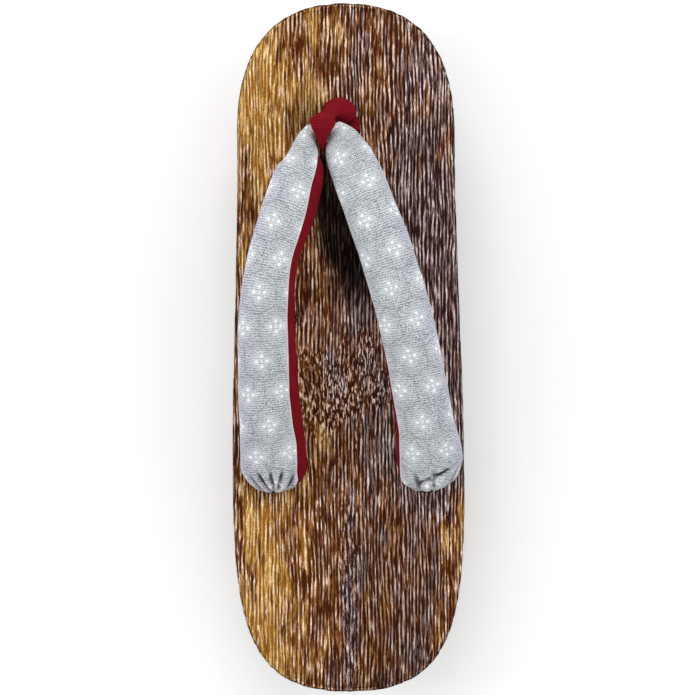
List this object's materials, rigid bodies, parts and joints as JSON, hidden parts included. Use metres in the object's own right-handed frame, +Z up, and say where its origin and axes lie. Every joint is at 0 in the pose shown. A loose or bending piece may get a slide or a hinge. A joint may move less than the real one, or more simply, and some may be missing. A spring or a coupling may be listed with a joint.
{
  "type": "geta sandal",
  "caption": "Wooden geta sandal for a right foot: one carved base with a front and a rear tooth, and a padded cloth V strap held by a loop between the toes.",
  "frame": {"origin": "centre of the base's outline, on the floor under the teeth", "axes": "+Y towards the toe, +X to the wearer's right, +Z up"},
  "size_m": [0.0792, 0.235, 0.0837],
  "materials": {
    "scorched_wood": "scorched, brushed and waxed, raised lengthwise grain",
    "pale_cloth": "matt woven cloth with small white dotted flowers in faint hexagons",
    "crimson_cloth": "matt finely ribbed cloth",
    "twine": "dull twisted twine"
  },
  "bodies": {
    "root": {"wood_base": "scorched_wood", "strap_upper": "pale_cloth", "strap_lining_left": "crimson_cloth", "strap_lining_right": "crimson_cloth", "toe_loop": "crimson_cloth", "front_knot": "twine", "rear_knot_left": "twine", "rear_knot_right": "twine"}
  },
  "joints": []
}
